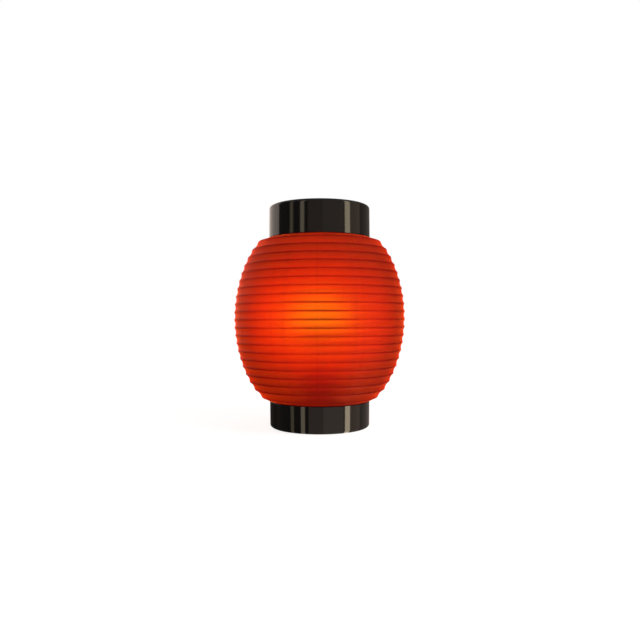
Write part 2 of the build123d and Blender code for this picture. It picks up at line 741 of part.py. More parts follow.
insulator_bottom = tip + BULB_TIP_HEIGHT
cap_edge = insulator_bottom + INSULATOR_HEIGHT
cap_top = cap_edge + SCREW_CAP_HEIGHT
cap_inner = SCREW_CAP_RADIUS - SCREW_CAP_WALL
housing_spigot = cap_inner - GLUE_GAP / 2
housing_foot = SCREW_CAP_RADIUS + HOUSING_STEP
housing_neck = housing_foot + HOUSING_NECK_SPREAD
housing_neck_top = cap_top + HOUSING_NECK_HEIGHT
housing_flare_top = housing_neck_top + HOUSING_FLARE_HEIGHT
dome_base_radius = sqrt(GLOBE_RADIUS**2 - GLOBE_CUT**2)
housing_rim = dome_base_radius - HOUSING_WALL
board_bottom = globe_base - BOARD_SEAT

with BuildPart() as bulb_tip:
    with BuildSketch(Plane.XY.offset(tip)):
        Circle(BULB_TIP_RADIUS)
    extrude(amount=BULB_TIP_HEIGHT)
    fillet(bulb_tip.edges().sort_by(Axis.Z)[0], BULB_TIP_ROUND)
bulb_tip.part.label = "bulb_tip"
export_step(bulb_tip.part, "parts/bulb_tip.step")

with BuildPart() as bulb_insulator:
    with BuildSketch(Plane.XZ):
        with BuildLine():
            Polyline(
                (0, insulator_bottom),
                (INSULATOR_SMALL_RADIUS, insulator_bottom),
                (INSULATOR_LARGE_RADIUS, cap_edge),
                (0, cap_edge),
                close=True,
            )
        make_face()
    revolve(axis=Axis.Z)
bulb_insulator.part.label = "bulb_insulator"
export_step(bulb_insulator.part, "parts/bulb_insulator.step")

with BuildPart() as bulb_screw_cap:
    with BuildSketch(Plane.XZ):
        with BuildLine():
            FilletPolyline(
                (0, cap_edge),
                (SCREW_CAP_RADIUS, cap_edge),
                (SCREW_CAP_RADIUS, cap_top),
                (cap_inner, cap_top),
                (cap_inner, cap_edge + SCREW_CAP_WALL),
                (0, cap_edge + SCREW_CAP_WALL),
                radius=[0, 0.6, 0, 0, 0.3, 0],
                close=True,
            )
        make_face()
    revolve(axis=Axis.Z)
bulb_screw_cap.part.label = "bulb_screw_cap"
export_step(bulb_screw_cap.part, "parts/bulb_screw_cap.step")

# The housing flares from the screw cap to the dome, with a ledge inside for the LED board.
ledge = housing_rim - HOUSING_LEDGE
housing_neck_inner = housing_neck - HOUSING_WALL - HOUSING_NECK_EXTRA
with BuildPart() as bulb_housing:
    with BuildSketch(Plane.XZ):
        with BuildLine():
            FilletPolyline(
                (housing_spigot, cap_top - HOUSING_SPIGOT),
                (housing_spigot, cap_top),
                (housing_foot, cap_top),
                (housing_neck, housing_neck_top),
                (dome_base_radius - HOUSING_RIM_DRAFT, housing_flare_top),
                (dome_base_radius, globe_base),
                (housing_rim, globe_base),
                (housing_rim, board_bottom),
                (ledge, board_bottom),
                (ledge, housing_flare_top + HOUSING_LEDGE_LIFT),
                (housing_neck_inner, housing_neck_top + HOUSING_NECK_LIFT),
                (housing_spigot - HOUSING_WALL, cap_top - HOUSING_SPIGOT),
                radius=[0, 0, 0.5, 12, 14, 0, 0, 0, 0, 4, 12, 0],
                close=True,
            )
        make_face()
    revolve(axis=Axis.Z)
bulb_housing.part.label = "bulb_housing"
export_step(bulb_housing.part, "parts/bulb_housing.step")

dome_angle = degrees(asin(GLOBE_CUT / GLOBE_RADIUS))
inner_globe = GLOBE_RADIUS - GLOBE_WALL
inner_angle = degrees(asin(GLOBE_CUT / inner_globe))
with BuildPart() as bulb_dome:
    with BuildSketch(Plane.XZ):
        with BuildLine():
            outer_arc = CenterArc((0, globe_centre), GLOBE_RADIUS, -dome_angle, 90 + dome_angle)
            inner_arc = CenterArc((0, globe_centre), inner_globe, -inner_angle, 90 + inner_angle)
            Line(outer_arc @ 0, inner_arc @ 0)
            Line(outer_arc @ 1, inner_arc @ 1)
        make_face()
    revolve(axis=Axis.Z)
bulb_dome.part.label = "bulb_dome"
export_step(bulb_dome.part, "parts/bulb_dome.step")

with BuildPart() as led_board:
    with BuildSketch(Plane.XY.offset(board_bottom)):
        Circle(housing_rim - SOFT_GAP)
    extrude(amount=BOARD_THICKNESS)
led_board.part.label = "led_board"
export_step(led_board.part, "parts/led_board.step")

with BuildPart() as led_chips:
    with BuildSketch(Plane.XY.offset(board_bottom + BOARD_THICKNESS)):
        with PolarLocations(LED_CIRCLE_RADIUS, LED_COUNT):
            Rectangle(LED_LENGTH, LED_WIDTH)
    extrude(amount=LED_HEIGHT)
led_chips.part.label = "led_chips"
export_step(led_chips.part, "parts/led_chips.step")

# The driver board stands under the LED board, with its smoothing capacitor.
capacitor_y = DRIVER_THICKNESS / 2 + CAPACITOR_RADIUS - CAPACITOR_SINK
with BuildPart() as driver_board:
    with Locations((0, 0, board_bottom - SOFT_GAP)):
        Box(
            DRIVER_WIDTH,
            DRIVER_THICKNESS,
            DRIVER_HEIGHT,
            align=(Align.CENTER, Align.CENTER, Align.MAX),
        )
    with BuildSketch(Plane.XY.offset(board_bottom - CAPACITOR_DROP)):
        with Locations((0, capacitor_y)):
            Circle(CAPACITOR_RADIUS)
    extrude(amount=CAPACITOR_HEIGHT)
driver_board.part.label = "driver_board"
export_step(driver_board.part, "parts/driver_board.step")

# ---------------------------------------------------------------- cable entry

# A rubber grommet lines the hole at the back of the lower ring.
entry_axis = Axis((0, 0, CABLE_ENTRY_HEIGHT), (0, 1, 0))
wall_inside = sqrt(lower_wall_radius**2 - GROMMET_FLANGE_RADIUS**2) - GLUE_GAP
wall_outside = LOWER_RING_RADIUS + GLUE_GAP
with BuildPart() as cable_grommet:
    with BuildSketch(Plane.XY.offset(CABLE_ENTRY_HEIGHT)):
        with BuildLine():
            FilletPolyline(
                (CABLE_BORE_RADIUS, wall_inside - GROMMET_FLANGE_THICKNESS),
                (GROMMET_FLANGE_RADIUS, wall_inside - GROMMET_FLANGE_THICKNESS),
                (GROMMET_FLANGE_RADIUS, wall_inside),
                (GROMMET_RADIUS, wall_inside),
                (GROMMET_RADIUS, wall_outside),
                (GROMMET_FLANGE_RADIUS, wall_outside),
                (GROMMET_FLANGE_RADIUS, wall_outside + GROMMET_FLANGE_THICKNESS),
                (CABLE_BORE_RADIUS, wall_outside + GROMMET_FLANGE_THICKNESS),
                radius=[0, GROMMET_ROUND, 0.3, 0, 0, 0.3, GROMMET_ROUND, 0],
                close=True,
            )
        make_face()
    revolve(axis=entry_axis)
cable_grommet.part.label = "cable_grommet"
export_step(cable_grommet.part, "parts/cable_grommet.step")

print(f"height {total_height:.1f}, hoop pitch {hoop_pitch:.2f}, fold travel {fold_travel:.2f}")
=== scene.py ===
"""Studio model of a paper lantern: red paper on bamboo hoops between two lacquered mouth rings.

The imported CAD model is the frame. This script dresses its pieces, builds the pieces that need
finer shape than the CAD has, and sets up the floor, the lights and the camera.
"""

import json
import logging
import math
from dataclasses import dataclass, field
from enum import Enum
from typing import Any, Callable, Optional

import bpy
import numpy as np
from mathutils import Matrix, Vector


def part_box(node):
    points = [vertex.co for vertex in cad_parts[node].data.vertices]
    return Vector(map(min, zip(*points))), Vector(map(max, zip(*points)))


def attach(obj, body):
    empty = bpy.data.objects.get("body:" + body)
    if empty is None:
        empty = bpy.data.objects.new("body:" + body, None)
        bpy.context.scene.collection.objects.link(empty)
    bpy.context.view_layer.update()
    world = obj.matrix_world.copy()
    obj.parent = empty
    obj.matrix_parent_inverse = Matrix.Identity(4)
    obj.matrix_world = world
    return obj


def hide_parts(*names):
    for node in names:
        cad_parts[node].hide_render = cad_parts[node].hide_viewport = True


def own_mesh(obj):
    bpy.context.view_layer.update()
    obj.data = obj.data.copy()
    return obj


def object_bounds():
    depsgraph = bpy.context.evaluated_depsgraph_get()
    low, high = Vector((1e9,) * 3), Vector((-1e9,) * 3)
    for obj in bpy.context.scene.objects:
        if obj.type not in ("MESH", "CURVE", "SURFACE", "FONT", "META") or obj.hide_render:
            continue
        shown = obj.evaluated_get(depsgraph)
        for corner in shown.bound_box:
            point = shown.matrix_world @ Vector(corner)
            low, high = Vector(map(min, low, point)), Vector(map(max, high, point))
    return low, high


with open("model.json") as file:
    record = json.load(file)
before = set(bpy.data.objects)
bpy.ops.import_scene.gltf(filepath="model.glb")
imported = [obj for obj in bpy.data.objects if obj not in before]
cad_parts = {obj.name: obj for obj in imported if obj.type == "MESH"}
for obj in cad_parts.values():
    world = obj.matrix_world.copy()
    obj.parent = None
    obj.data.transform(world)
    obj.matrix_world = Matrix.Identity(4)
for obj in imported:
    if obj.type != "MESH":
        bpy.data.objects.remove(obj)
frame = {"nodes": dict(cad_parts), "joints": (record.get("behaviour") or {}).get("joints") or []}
CAD_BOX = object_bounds()
MM = 0.001
TURN = 2 * math.pi
Point = tuple[float, float]
log = logging.getLogger("lantern")


class Slot(Enum):
    """Names of material slots in the record."""

    PAPER = "red_paper"
    THREAD = "cotton_thread"
    STEEL = "zinc_steel"


# ---------------------------------------------------------------- helpers


def linear(code: str) -> tuple[float, float, float, float]:
    """Turns an sRGB hex colour to linear light.

    Args:
        code: six hex digits, such as "b3140f".

    Returns:
        Red, green, blue and an alpha of 1.
    """
    parts = [int(code[i : i + 2], 16) / 255 for i in (0, 2, 4)]
    r, g, b = (c / 12.92 if c <= 0.04045 else ((c + 0.055) / 1.055) ** 2.4 for c in parts)
    return (r, g, b, 1.0)


def add_node(
    tree: bpy.types.NodeTree,
    kind: str,
    settings: Optional[dict[str, Any]] = None,
    sockets: Optional[dict[Any, Any]] = None,
) -> bpy.types.Node:
    """Adds a node with its settings and links.

    Args:
        tree: the node tree to add to.
        kind: the node's type name.
        settings: properties of the node.
        sockets: input name or number to a value, or to the output socket that feeds it.

    Returns:
        The new node.
    """
    node = tree.nodes.new(kind)
    for key, value in (settings or {}).items():
        setattr(node, key, value)
    for key, value in (sockets or {}).items():
        if isinstance(value, bpy.types.NodeSocket):
            tree.links.new(value, node.inputs[key])
        else:
            node.inputs[key].default_value = value
    return node


def make_object(
    name: str, vertices: np.ndarray, faces: list[tuple[int, ...]]
) -> bpy.types.Object:
    """Makes a smooth-shaded mesh object.

    Args:
        name: the piece's name.
        vertices: one row of x, y, z in metres for each vertex.
        faces: vertex numbers of each face.

    Returns:
        The new object, linked to the scene.
    """
    mesh = bpy.data.meshes.new(name)
    mesh.from_pydata(vertices.tolist(), [], faces)
    mesh.shade_smooth()
    mesh.update()
    thing = bpy.data.objects.new(name, mesh)
    bpy.context.scene.collection.objects.link(thing)
    return thing


def turned(
    name: str,
    outline: list[Point],
    segments: int,
    carve: Optional[Callable[[float, float, float], float]] = None,
) -> bpy.types.Object:
    """Turns a closed outline round the lantern's axis.

    Args:
        name: the piece's name.
        outline: (radius, height) pairs in metres, the inside on the left going along.
        segments: how many steps a turn has.
        carve: gives what to add to the radius at a radius, height and angle.

    Returns:
        A closed ring-shaped object.
    """
    count = len(outline)
    rows = np.zeros((segments, count, 3))
    for step in range(segments):
        angle = TURN * step / segments
        for place, (radius, height) in enumerate(outline):
            reach = radius + (carve(radius, height, angle) if carve else 0.0)
            rows[step, place] = (reach * math.cos(angle), reach * math.sin(angle), height)
    faces = [
        (
            step * count + place,
            (step + 1) % segments * count + place,
            (step + 1) % segments * count + (place + 1) % count,
            step * count + (place + 1) % count,
        )
        for step in range(segments)
        for place in range(count)
    ]
    return make_object(name, rows.reshape(-1, 3), faces)


def blank_material(name: str) -> bpy.types.Material:
    """Makes a material with an empty node tree.

    Args:
        name: the material's name.

    Returns:
        The new material.
    """
    material = bpy.data.materials.new(name)
    material.use_nodes = True
    material.node_tree.nodes.clear()
    return material


def dress(thing: bpy.types.Object, material: bpy.types.Material) -> None:
    """Puts one material on a whole piece."""
    thing.data.materials.clear()
    thing.data.materials.append(material)


def dress_node(node: str, material: bpy.types.Material) -> None:
    """Puts a material in every slot of a CAD node, leaving its mesh alone.

    Args:
        node: the CAD node's name.
        material: what it is dressed in.
    """
    thing = frame["nodes"][node]
    for place in thing.material_slots:
        place.material = material
    log.info("dressed %s with %s", node, material.name)


def axis_values(node: str) -> tuple[float, float, float]:
    """A round CAD node's outer radius, lowest and highest height, in metres."""
    low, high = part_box(node)
    return (high.x - low.x) / 2, low.z, high.z


# ---------------------------------------------------------------- finishes


@dataclass(frozen=True)
class Finish:
    """A surface with soft patches of a second colour and a fine grain.

    Args:
        name: the real material and how its surface was made.
        colour: sRGB hex of most of the surface.
        second: sRGB hex that the patches turn towards.
        roughness: typical value for the surface.
        patch: size of a colour patch, in mm.
        grain: size of the surface grain, in mm.
        relief: height of the grain, in mm.
        spread: how far roughness swings either way.
        metallic: 1 for a bare metal.
        coat: weight of a clear coat.
        coat_roughness: how dull that coat is.
    """

    name: str
    colour: str
    second: str
    roughness: float
    patch: float = 6.0
    grain: float = 0.6
    relief: float = 0.01
    spread: float = 0.05
    metallic: float = 0.0
    coat: float = 0.0
    coat_roughness: float = 0.08

    def place(self, tree: bpy.types.NodeTree, size: float) -> bpy.types.NodeSocket:
        """Coordinates that grow by one for each size in mm, fixed to the piece.

        Args:
            tree: the material's node tree.
            size: the pattern's size, in mm.

        Returns:
            The coordinates' socket.
        """
        where = add_node(tree, "ShaderNodeTexCoord")
        scale = Vector((1, 1, 1)) / (size * MM)
        mapping = add_node(
            tree, "ShaderNodeMapping", {}, {"Vector": where.outputs["Object"], "Scale": scale}
        )
        return mapping.outputs["Vector"]

    def shade(self, tree: bpy.types.NodeTree) -> bpy.types.NodeSocket:
        """Builds the surface.

        Args:
            tree: the material's node tree.

        Returns:
            The shader that goes to the material's output.
        """
        patches = add_node(
            tree,
            "ShaderNodeTexNoise",
            {},
            {"Vector": self.place(tree, self.patch), "Scale": 1.0, "Detail": 4.0},
        )
        grain = add_node(
            tree,
            "ShaderNodeTexNoise",
            {},
            {"Vector": self.place(tree, self.grain), "Scale": 1.0, "Detail": 3.0},
        )
        colour = add_node(
            tree,
            "ShaderNodeMix",
            {"data_type": "RGBA"},
            {0: patches.outputs["Fac"], 6: linear(self.colour), 7: linear(self.second)},
        )
        rough = add_node(
            tree,
            "ShaderNodeMapRange",
            {},
            {
                "Value": patches.outputs["Fac"],
                "To Min": max(self.roughness - self.spread, 0.03),
                "To Max": min(self.roughness + self.spread, 1.0),
            },
        )
        relief = add_node(
            tree,
            "ShaderNodeBump",
            {},
            {"Height": grain.outputs["Fac"], "Distance": self.relief * MM, "Strength": 1.0},
        )
        surface = add_node(
            tree,
            "ShaderNodeBsdfPrincipled",
            {},
            {
                "Base Color": colour.outputs[2],
                "Metallic": self.metallic,
                "Roughness": rough.outputs["Result"],
                "Coat Weight": self.coat,
                "Coat Roughness": self.coat_roughness,
                "Normal": relief.outputs["Normal"],
            },
        )
        self.extra(surface)
        return surface.outputs["BSDF"]

    def extra(self, surface: bpy.types.Node) -> None:
        """Settings that only some finishes have."""

    def build(self) -> bpy.types.Material:
        """Makes the material.

        Returns:
            The material, ready to put on a piece.
        """
        material = blank_material(self.name)
        tree = material.node_tree
        add_node(tree, "ShaderNodeOutputMaterial", {}, {"Surface": self.shade(tree)})
        material.diffuse_color = linear(self.colour)
        return material


@dataclass(frozen=True)
class LongGrain(Finish):
    """Wood planed along its length: the grain is long and narrow.

    Args:
        length: how long a fibre streak runs, in mm.
    """

    length: float = 60.0

    def place(self, tree: bpy.types.NodeTree, size: float) -> bpy.types.NodeSocket:
        """Coordinates that are stretched along the board.

        Args:
            tree: the material's node tree.
            size: the pattern's size, in mm.

        Returns:
            The coordinates' socket.
        """
        where = add_node(tree, "ShaderNodeTexCoord")
        scale = Vector((1 / self.length, 1 / size, 1 / size)) / MM
        mapping = add_node(
            tree, "ShaderNodeMapping", {}, {"Vector": where.outputs["Object"], "Scale": scale}
        )
        return mapping.outputs["Vector"]


@dataclass(frozen=True)
class SplitBamboo(LongGrain):
    """Bamboo split into strips and bent to a hoop: its fibres run round the hoop.

    Args:
        bend: about the radius of a hoop, in mm.
    """

    bend: float = 100.0

    def place(self, tree: bpy.types.NodeTree, size: float) -> bpy.types.NodeSocket:
        """Coordinates that run round the lantern's axis.

        Args:
            tree: the material's node tree.
            size: the pattern's size, in mm.

        Returns:
            The coordinates' socket.
        """
        where = add_node(tree, "ShaderNodeTexCoord").outputs["Object"]
        turn = add_node(
            tree, "ShaderNodeTexGradient", {"gradient_type": "RADIAL"}, {"Vector": where}
        )
        parts = add_node(tree, "ShaderNodeSeparateXYZ", {}, {0: where})
        length = add_node(
            tree, "ShaderNodeVectorMath", {"operation": "LENGTH"}, {0: where}
        )
        streaks = TURN * self.bend / self.length
        round_turn = add_node(
            tree,
            "ShaderNodeMath",
            {"operation": "MULTIPLY"},
            {0: turn.outputs["Fac"], 1: streaks},
        )
        out = add_node(
            tree,
            "ShaderNodeMath",
            {"operation": "MULTIPLY"},
            {0: length.outputs["Value"], 1: 1 / (size * MM)},
        )
        up = add_node(
            tree,
            "ShaderNodeMath",
            {"operation": "MULTIPLY"},
            {0: parts.outputs["Z"], 1: 1 / (size * MM)},
        )
        joined = add_node(
            tree,
            "ShaderNodeCombineXYZ",
            {},
            {"X": round_turn.outputs[0], "Y": out.outputs[0], "Z": up.outputs[0]},
        )
        return joined.outputs["Vector"]


@dataclass(frozen=True)
class Glowing(Finish):
    """A surface that also gives light of its own.

    Args:
        glow: sRGB hex of the light.
        strength: its level, where 1 shows as the colour itself.
    """

    glow: str = "ffffff"
    strength: float = 1.0

    def extra(self, surface: bpy.types.Node) -> None:
        """Turns the light on."""
        surface.inputs["Emission Color"].default_value = linear(self.glow)
        surface.inputs["Emission Strength"].default_value = self.strength


# Urushi lacquer brushed on bent cypress and rubbed down. The eye sees black with a deep, nearly
# mirror-like gloss, a very faint unevenness and hardly any colour.
LACQUER = Finish(
    "lacquer_black_brushed", "0c0a09", "15110e", 0.085, 25.0, 9.0, 0.004, 0.025
)
# Bamboo split with a knife. The eye sees a pale straw strip with darker fibres along it.
BAMBOO = SplitBamboo("bamboo_split", "c9a468", "94703c", 0.48, 0.5, 0.25, 0.03, 0.08)
# Pine planed and left bare. The eye sees cream wood with narrow tan growth lines.
PINE = LongGrain("pine_planed", "dcbc86", "b1824a", 0.6, 2.2, 0.35, 0.04, 0.06, length=70.0)
# Steel plated with zinc and passivated. The eye sees a cool grey with a slight bloom.
ZINC = Finish("steel_zinc_plated", "b9bcc0", "9a9ea6", 0.34, 5.0, 0.4, 0.004, 0.08, 1.0)
# Phenolic resin pressed in a hot mould. The eye sees a hard black-brown with a soft shine.
PHENOLIC = Finish("phenolic_moulded", "1b1513", "261d19", 0.3, 12.0, 1.2, 0.006, 0.06)
# Porcelain dipped in glaze and fired. The eye sees a warm white under a wet gloss.
PORCELAIN = Finish("porcelain_glazed", "e6e2d8", "dad4c6", 0.3, 9.0, 2.0, 0.004, 0.04, coat=0.8)
# Brass drawn from sheet. The eye sees a yellow metal with faint brown tarnish.
BRASS = Finish("brass_drawn", "c79a4b", "a8783a", 0.27, 4.0, 0.5, 0.004, 0.09, 1.0)
# Urea resin moulded in a matt tool. The eye sees a dull black.
KEY_PLASTIC = Finish("urea_moulded_matt", "201c1a", "2b2623", 0.46, 6.0, 0.4, 0.012, 0.05)
# Vulcanised fibre, punched. The eye sees a dry brick red.
FIBRE = Finish("vulcanised_fibre_punched", "7e3a2b", "6a3024", 0.6, 2.0, 0.3, 0.02)
# Tin solder, set from a bead. The eye sees a bright grey with dull patches.
SOLDER = Finish("tin_solder_set", "c3c4c6", "a5a6a8", 0.25, 1.5, 0.4, 0.01, 0.1, 1.0)
# Glass pressed black. The eye sees a deep gloss.
BLACK_GLASS = Finish("glass_pressed_black", "0b0b0d", "121216", 0.12, 6.0, 2.0, 0.004, 0.03)
# Nickel plated on rolled steel. The eye sees a warm silver with soft smears.
NICKEL = Finish("steel_nickel_plated", "c8c4ba", "b2ada2", 0.24, 5.0, 0.6, 0.003, 0.07, 1.0)
# Polycarbonate moulded white for the bulb's housing. The eye sees a smooth satin white.
HOUSING = Finish("polycarbonate_moulded_white", "dedbd4", "d4d0c8", 0.4, 10.0, 0.8, 0.005)
# Aluminium core with a white solder mask, screened. The eye sees an even, chalky white.
MASK = Finish("solder_mask_screened_white", "e0ded8", "d3d1ca", 0.5, 4.0, 0.5, 0.006)
# Glass-fibre laminate under green mask. The eye sees dark green with a woven grain.
LAMINATE = Finish("glass_laminate_green", "1d5a35", "174a2c", 0.38, 3.0, 0.5, 0.01)
# Natural rubber, moulded. The eye sees a soft black that hardly shines.
RUBBER = Finish("rubber_moulded_black", "191817", "242220", 0.68, 5.0, 0.5, 0.02)
# Twisted cotton. The eye sees an off-white fuzzy line, tinted pink by the red paper's light.
COTTON = Finish("cotton_twisted", "d9cdb6", "c4b496", 0.85, 1.0, 0.25, 0.05)
# Opal polycarbonate, blown, with the LEDs lit behind it. The eye sees an even warm glow.
OPAL = Glowing(
    "polycarbonate_blown_opal", "f1e6d2", "ece0ca", 0.4, 20.0, 2.0, 0.004,
    glow="ffd9a0", strength=1.4,
)
# Phosphor cast over the LED chips. The eye sees yellow squares, bright while lit.
PHOSPHOR = Glowing(
    "phosphor_cast", "e8b93c", "d9a62c", 0.45, 1.0, 0.3, 0.01, glow="ffe0a8", strength=3.0
)


@dataclass(frozen=True)
class Lobe:
    """Light that passes the paper nearly straight on.

    Args:
        colour: what the fibres leave of it, in linear light.
        share: how much of the paper works this way.
        roughness: how far it fans out.
        ior: bends the fan.
    """

    colour: tuple[float, float, float, float]
    share: float
    roughness: float
    ior: float


@dataclass(frozen=True)
class Washi:
    """Mulberry paper, dyed red, pasted in upright panels and waxed.

    The eye sees soft red outside, and where the lamp shines through an orange heart that sinks
    to dark red at the edges, because the long fibres pass light mostly straight on. Fibres and
    cloudy patches show faintly, and each panel's lap is a little darker. Where the paper lies
    on a hoop a painted shadow darkens it, standing in for the hoop's own shadow, which is off.
    """

    name: str = "washi_dyed_waxed"
    dye: tuple[float, float, float, float] = (0.2, 0.011, 0.006, 1.0)
    scattered: tuple[float, float, float, float] = (0.8, 0.035, 0.012, 1.0)
    lobes: tuple[Lobe, ...] = (
        Lobe((1.0, 0.01, 0.001, 1.0), 0.22, 0.7, 2.3),
        Lobe((1.0, 0.4, 0.003, 1.0), 0.26, 0.57, 1.5),
    )
    scattered_share: float = 0.03
    follow: float = 0.28  # the fibres scatter by the barrel's shape more than by each web's
    panel: float = 62.0  # width of a paper panel at the fullest hoop, in mm
    lap: float = 4.0
    cloud: float = 22.0  # size of the cloudy patches
    fibre: float = 1.6  # real fibres are 0.02 mm thick; drawn this coarse to show
    fibre_twist: float = 1.2
    cloud_pass: tuple[float, float] = (1.0, 0.84)  # light let through, thin to thick
    fibre_pass: tuple[float, float] = (1.06, 0.92)
    lap_loss: float = 0.035
    # painted shadow: the share of light taken off where the paper lies on a hoop
    hoop_shadow_depth: float = 0.1
    relief: float = 0.05  # height of the fibres, in mm
    relief_strength: float = 0.6
    roughness: float = 0.52
    specular: float = 0.12  # the wax is thin

    def build(self) -> bpy.types.Material:
        """Makes the material.

        Returns:
            The material, ready to put on a piece.
        """
        material = blank_material(self.name)
        tree = material.node_tree
        sheet = add_node(tree, "ShaderNodeUVMap", {"uv_map": "sheet"}).outputs["UV"]
        clouds = add_node(
            tree,
            "ShaderNodeTexNoise",
            {},
            {"Vector": sheet, "Scale": 1 / (self.cloud * MM), "Detail": 4.0},
        )
        fibres = add_node(
            tree,
            "ShaderNodeTexNoise",
            {},
            {
                "Vector": sheet,
                "Scale": 1 / (self.fibre * MM),
                "Detail": 5.0,
                "Distortion": self.fibre_twist,
            },
        )
        across = add_node(tree, "ShaderNodeSeparateXYZ", {}, {0: sheet})
        panels = add_node(
            tree,
            "ShaderNodeMath",
            {"operation": "DIVIDE"},
            {0: across.outputs["X"], 1: self.panel * MM},
        )
        share = add_node(
            tree, "ShaderNodeMath", {"operation": "FRACT"}, {0: panels.outputs[0]}
        )
        lap = add_node(
            tree,
            "ShaderNodeMath",
            {"operation": "LESS_THAN"},
            {0: share.outputs[0], 1: self.lap / self.panel},
        )
        # painted shadow of the hoops: 1 where the paper lies on one, 0 between
        hoop = add_node(tree, "ShaderNodeAttribute", {"attribute_name": "over_hoop"})
        clear = add_node(
            tree,
            "ShaderNodeMapRange",
            {},
            {
                "Value": clouds.outputs["Fac"],
                "To Min": self.cloud_pass[0],
                "To Max": self.cloud_pass[1],
            },
        )
        streaked = add_node(
            tree,
            "ShaderNodeMapRange",
            {},
            {
                "Value": fibres.outputs["Fac"],
                "To Min": self.fibre_pass[0],
                "To Max": self.fibre_pass[1],
            },
        )
        passing = clear.outputs["Result"]
        # a lap's double paper really lets less light through; the hoop term is a painted shadow
        losses = ((lap.outputs[0], self.lap_loss), (hoop.outputs["Fac"], self.hoop_shadow_depth))
        for cover, depth in losses:
            kept = add_node(
                tree,
                "ShaderNodeMath",
                {"operation": "MULTIPLY_ADD"},
                {0: cover, 1: -depth, 2: 1.0},
            )
            both = add_node(
                tree, "ShaderNodeMath", {"operation": "MULTIPLY"}, {0: passing, 1: kept.outputs[0]}
            )
            passing = both.outputs[0]
        passing = add_node(
            tree,
            "ShaderNodeMath",
            {"operation": "MULTIPLY"},
            {0: passing, 1: streaked.outputs["Result"]},
        ).outputs[0]
        tinted = []
        for colour in (self.dye, self.scattered, *(lobe.colour for lobe in self.lobes)):
            tint = add_node(
                tree,
                "ShaderNodeMix",
                {"data_type": "RGBA", "blend_type": "MULTIPLY"},
                {0: 1.0, 6: colour, 7: passing},
            )
            tinted.append(tint.outputs[2])
        relief = add_node(
            tree,
            "ShaderNodeBump",
            {},
            {
                "Height": fibres.outputs["Fac"],
                "Distance": self.relief * MM,
                "Strength": self.relief_strength,
            },
        ).outputs["Normal"]
        front = add_node(
            tree,
            "ShaderNodeBsdfPrincipled",
            {},
            {
                "Base Color": tinted[0],
                "Roughness": self.roughness,
                "Specular IOR Level": self.specular,
                "Normal": relief,
            },
        )
        scattered = add_node(
            tree, "ShaderNodeBsdfTranslucent", {}, {"Color": tinted[1], "Normal": relief}
        )
        barrel = add_node(tree, "ShaderNodeAttribute", {"attribute_name": "barrel_facing"})
        own = add_node(tree, "ShaderNodeNewGeometry").outputs["Normal"]
        leant = add_node(
            tree,
            "ShaderNodeMix",
            {"data_type": "VECTOR"},
            {0: self.follow, 4: barrel.outputs["Vector"], 5: own},
        )
        facing = add_node(
            tree, "ShaderNodeVectorMath", {"operation": "NORMALIZE"}, {0: leant.outputs[1]}
        ).outputs["Vector"]
        fans = [(scattered.outputs[0], self.scattered_share)]
        for lobe, tint in zip(self.lobes, tinted[2:]):
            fan = add_node(
                tree,
                "ShaderNodeBsdfRefraction",
                {"distribution": "BECKMANN"},
                {
                    "Color": tint,
                    "Roughness": lobe.roughness,
                    "IOR": lobe.ior,
                    "Normal": facing,
                },
            )
            fans.append((fan.outputs[0], lobe.share))
        paper, taken = front.outputs[0], 0.0
        for fan, share in reversed(fans):
            mixed = add_node(
                tree,
                "ShaderNodeMixShader",
                {},
                {0: share / (1 - sum(s for _, s in fans) + taken + share), 1: paper, 2: fan},
            )
            paper, taken = mixed.outputs[0], taken + share
        side = add_node(tree, "ShaderNodeNewGeometry").outputs["Backfacing"]
        far_side = add_node(tree, "ShaderNodeBsdfTransparent")
        sheet_shader = add_node(
            tree, "ShaderNodeMixShader", {}, {0: side, 1: paper, 2: far_side.outputs[0]}
        )
        add_node(tree, "ShaderNodeOutputMaterial", {}, {"Surface": sheet_shader.outputs[0]})
        material.diffuse_color = self.dye
        return material


# The same paper where it is pasted on a hoop or a neck band. The eye sees red without the glow.
PASTED_PAPER = Finish("washi_pasted_on_hoop", "a4180f", "8d130c", 0.6, 9.0, 0.8, 0.02)


# ---------------------------------------------------------------- paper body


